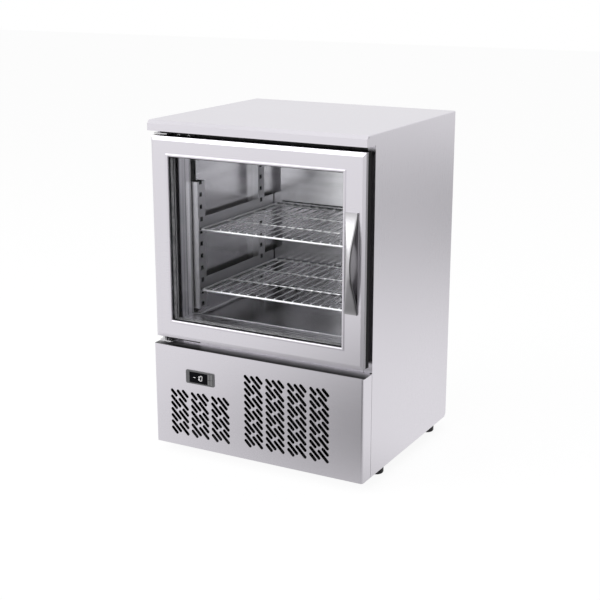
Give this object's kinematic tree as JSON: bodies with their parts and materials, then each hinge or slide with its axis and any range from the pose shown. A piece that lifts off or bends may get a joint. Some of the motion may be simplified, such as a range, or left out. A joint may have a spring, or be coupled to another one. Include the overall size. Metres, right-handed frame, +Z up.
{
  "type": "undercounter freezer",
  "caption": "Free-standing undercounter freezer: stainless steel case, glazed hinged door with a bowed handle, wire shelves and a slotted lower cover with a digital controller.",
  "frame": {"origin": "middle of the bounding box's bottom, on the floor under the feet", "axes": "+X to the right seen from the front, +Y from the door to the back, +Z up"},
  "size_m": [0.6, 0.5616, 0.87],
  "materials": {
    "stainless_brushed": "satin",
    "stainless_polished": "polished",
    "shelf_wire": "polished",
    "zinc_plated_steel": "satin",
    "black_plastic": "matte",
    "foam": "matte",
    "grey_plastic": "satin",
    "display_window": "gloss",
    "clear_glass": "gloss",
    "aluminium_mill": "satin",
    "black_rubber": "matte",
    "white_nylon": "satin",
    "fan_plastic": "satin",
    "compressor_black": "gloss",
    "copper": "satin"
  },
  "bodies": {
    "cabinet": {"worktop": "stainless_brushed", "side_panel_left": "stainless_brushed", "side_panel_right": "stainless_brushed", "front_cover": "stainless_brushed", "opening_frame": "stainless_brushed", "liner_left": "stainless_polished", "liner_right": "stainless_polished", "liner_back": "stainless_polished", "liner_ceiling": "stainless_polished", "liner_floor": "stainless_polished", "pilasters_left": "stainless_polished", "pilasters_right": "stainless_polished", "shelf_runners": "stainless_polished", "evaporator_cover": "stainless_polished", "rear_panel": "zinc_plated_steel", "rear_grille": "zinc_plated_steel", "base_tray": "zinc_plated_steel", "compartment_roof": "zinc_plated_steel", "hinge_bracket_top": "zinc_plated_steel", "hinge_bracket_bottom": "zinc_plated_steel", "screws": "zinc_plated_steel", "condenser_fan_shroud": "zinc_plated_steel", "cord_gland": "black_plastic", "thermal_break_strips": "black_plastic", "hinge_hole_plugs": "black_plastic", "evaporator_drip_tray": "black_plastic", "evaporation_tray": "black_plastic", "compressor_terminal_box": "black_plastic", "condenser_fan_motor": "black_plastic", "evaporator_fan_motor": "black_plastic", "foam_insulation": "foam", "controller_housing": "grey_plastic", "controller_screen": "display_window", "evaporator_coil": "aluminium_mill", "compressor_grommets": "black_rubber", "compressor": "compressor_black", "condenser_coil": "compressor_black", "filter_drier": "copper", "refrigerant_pipes": "copper"},
    "door": {"door_frame": "stainless_brushed", "door_back_frame": "black_plastic", "glass_outer": "clear_glass", "glass_inner": "clear_glass", "glass_spacer": "black_rubber", "glazing_seal": "black_rubber", "door_gasket": "black_rubber", "door_handle": "stainless_brushed", "hinge_bushes": "white_nylon"},
    "shelf_upper_body": {"shelf_upper": "shelf_wire"},
    "shelf_lower_body": {"shelf_lower": "shelf_wire"},
    "condenser_fan": {"condenser_fan_blades": "fan_plastic"},
    "evaporator_fan": {"evaporator_fan_blades": "fan_plastic"},
    "key_up_body": {"key_up": "grey_plastic"},
    "key_down_body": {"key_down": "grey_plastic"},
    "key_set_body": {"key_set": "grey_plastic"},
    "key_defrost_body": {"key_defrost": "grey_plastic"},
    "foot_front_left_body": {"foot_front_left": "black_plastic"},
    "foot_front_right_body": {"foot_front_right": "black_plastic"},
    "foot_rear_left_body": {"foot_rear_left": "black_plastic"},
    "foot_rear_right_body": {"foot_rear_right": "black_plastic"}
  },
  "joints": [
    {"name": "door_hinge", "type": "hinge", "parent": "cabinet", "child": "door", "pos_m": [-0.279, -0.22525, 0.57], "axis": [0, 0, -1], "range_deg": [0, 110]},
    {"name": "shelf_upper_slide", "type": "slide", "parent": "cabinet", "child": "shelf_upper_body", "axis": [0, -1, 0], "range_m": [0, 0.07]},
    {"name": "shelf_lower_slide", "type": "slide", "parent": "cabinet", "child": "shelf_lower_body", "axis": [0, -1, 0], "range_m": [0, 0.07]},
    {"name": "condenser_fan_spin", "type": "hinge", "parent": "cabinet", "child": "condenser_fan", "pos_m": [0.095, -0.13725, 0.1652], "axis": [0, 1, 0], "continuous": true},
    {"name": "evaporator_fan_spin", "type": "hinge", "parent": "cabinet", "child": "evaporator_fan", "pos_m": [0.108, 0.21275, 0.6965], "axis": [0, 1, 0], "continuous": true},
    {"name": "key_up_press", "type": "slide", "parent": "cabinet", "child": "key_up_body", "axis": [0, 1, 0], "range_m": [0, 0.0008], "stiffness_N_per_m": 900, "springref_m": -0.0006},
    {"name": "key_down_press", "type": "slide", "parent": "cabinet", "child": "key_down_body", "axis": [0, 1, 0], "range_m": [0, 0.0008], "stiffness_N_per_m": 900, "springref_m": -0.0006},
    {"name": "key_set_press", "type": "slide", "parent": "cabinet", "child": "key_set_body", "axis": [0, 1, 0], "range_m": [0, 0.0008], "stiffness_N_per_m": 900, "springref_m": -0.0006},
    {"name": "key_defrost_press", "type": "slide", "parent": "cabinet", "child": "key_defrost_body", "axis": [0, 1, 0], "range_m": [0, 0.0008], "stiffness_N_per_m": 900, "springref_m": -0.0006},
    {"name": "foot_front_left_thread", "type": "hinge", "parent": "cabinet", "child": "foot_front_left_body", "pos_m": [-0.271, -0.10725, 0.01], "axis": [0, 0, 1], "continuous": true},
    {"name": "foot_front_right_thread", "type": "hinge", "parent": "cabinet", "child": "foot_front_right_body", "pos_m": [0.271, -0.10725, 0.01], "axis": [0, 0, 1], "continuous": true},
    {"name": "foot_rear_left_thread", "type": "hinge", "parent": "cabinet", "child": "foot_rear_left_body", "pos_m": [-0.271, 0.21775, 0.01], "axis": [0, 0, 1], "continuous": true},
    {"name": "foot_rear_right_thread", "type": "hinge", "parent": "cabinet", "child": "foot_rear_right_body", "pos_m": [0.271, 0.21775, 0.01], "axis": [0, 0, 1], "continuous": true}
  ]
}
